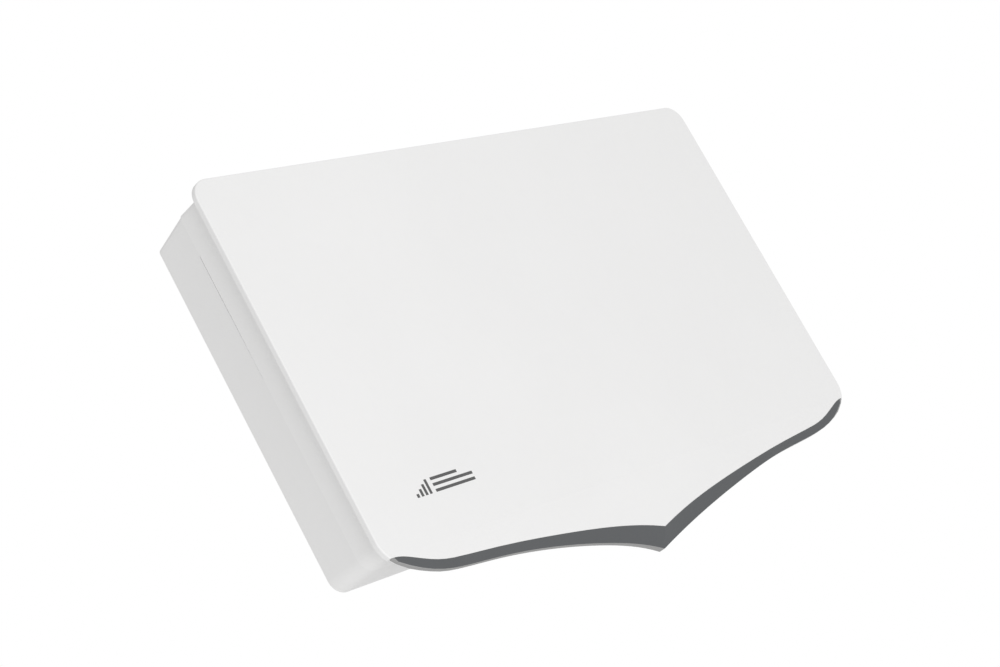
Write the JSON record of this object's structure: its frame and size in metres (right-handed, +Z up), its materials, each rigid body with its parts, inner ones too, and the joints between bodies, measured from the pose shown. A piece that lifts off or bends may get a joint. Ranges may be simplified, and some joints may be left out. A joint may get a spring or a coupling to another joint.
{
  "type": "flat panel satellite antenna",
  "caption": "Flat rectangular satellite antenna panel with a dark chin trim, on a bracket that tilts and turns it and clamps to a mast.",
  "frame": {"origin": "centre of the mast in the clamp", "axes": "+X along the width of the panel, +Y from the panel towards the mast and beyond, +Z up along the mast; the panel looks along -Y"},
  "size_m": [0.545, 0.2323, 0.3437],
  "materials": {
    "cover_white": "fine matt moulding grain",
    "trim_dark": "fine matt",
    "edge_grey": "fine matt",
    "housing_white": "fine matt moulding grain",
    "shell_white": "fine matt moulding grain",
    "seal_rubber": "matt",
    "stainless": "stainless",
    "plated_plastic": "silver metallised",
    "sheet_aluminium": "rolled sheet",
    "cast_aluminium": "die cast",
    "board_green": "solder mask",
    "plated_brass": "plated",
    "nickel_plate": "satin nickel",
    "insulator_white": "smooth",
    "plug_grey": "matt",
    "insert_brass": "knurled",
    "galvanised": "zinc spangle",
    "zinc_plated": "zinc plated",
    "clamp_cast": "sand-blasted casting"
  },
  "bodies": {
    "mast_side": {"mast_bracket": "galvanised", "mast_saddle": "clamp_cast", "clamp_bolts": "zinc_plated", "pivot_bolts": "zinc_plated", "pivot_washers": "zinc_plated", "pivot_nuts": "zinc_plated", "lock_bolts": "zinc_plated", "lock_washers": "zinc_plated", "lock_nuts": "zinc_plated"},
    "jaw": {"clamp_jaw": "clamp_cast", "clamp_washers": "zinc_plated", "clamp_nuts": "zinc_plated"},
    "yoke": {"skew_plate": "galvanised", "yoke_bracket": "galvanised", "yoke_rivets": "zinc_plated"},
    "panel": {"front_cover": "cover_white", "chin_trim": "trim_dark", "chin_back": "edge_grey", "front_seal": "seal_rubber", "housing_frame": "housing_white", "rear_seal": "seal_rubber", "rear_shell": "shell_white", "case_screws": "stainless", "horn_plate": "plated_plastic", "feed_plate_front": "plated_plastic", "feed_plate_rear": "plated_plastic", "array_back_plate": "sheet_aluminium", "array_screws": "stainless", "lnb_housing": "cast_aluminium", "lnb_board": "board_green", "lnb_probes": "plated_brass", "lnb_lid": "sheet_aluminium", "lnb_screws": "stainless", "f_sockets": "nickel_plate", "f_insulators": "insulator_white", "f_contacts": "plated_brass", "f_washers": "seal_rubber", "f_nuts": "nickel_plate", "vent_plug": "plug_grey", "mount_plate": "galvanised", "mount_inserts": "insert_brass", "mount_screws": "stainless", "skew_pivot_bolt": "zinc_plated", "skew_pivot_washer": "zinc_plated", "skew_pivot_nut": "zinc_plated", "skew_bolts": "zinc_plated", "skew_washers": "zinc_plated", "skew_nuts": "zinc_plated"}
  },
  "joints": [
    {"name": "jaw_slide", "type": "slide", "parent": "mast_side", "child": "jaw", "axis": [0, 1, 0], "range_m": [0, 0.012]},
    {"name": "elevation_tilt", "type": "hinge", "parent": "mast_side", "child": "yoke", "pos_m": [0, -0.08, 0], "axis": [-1, 0, 0], "range_deg": [0, 60]},
    {"name": "skew_turn", "type": "hinge", "parent": "yoke", "child": "panel", "pos_m": [0, -0.103, 0], "axis": [0, -1, 0], "range_deg": [-25, 25]}
  ]
}
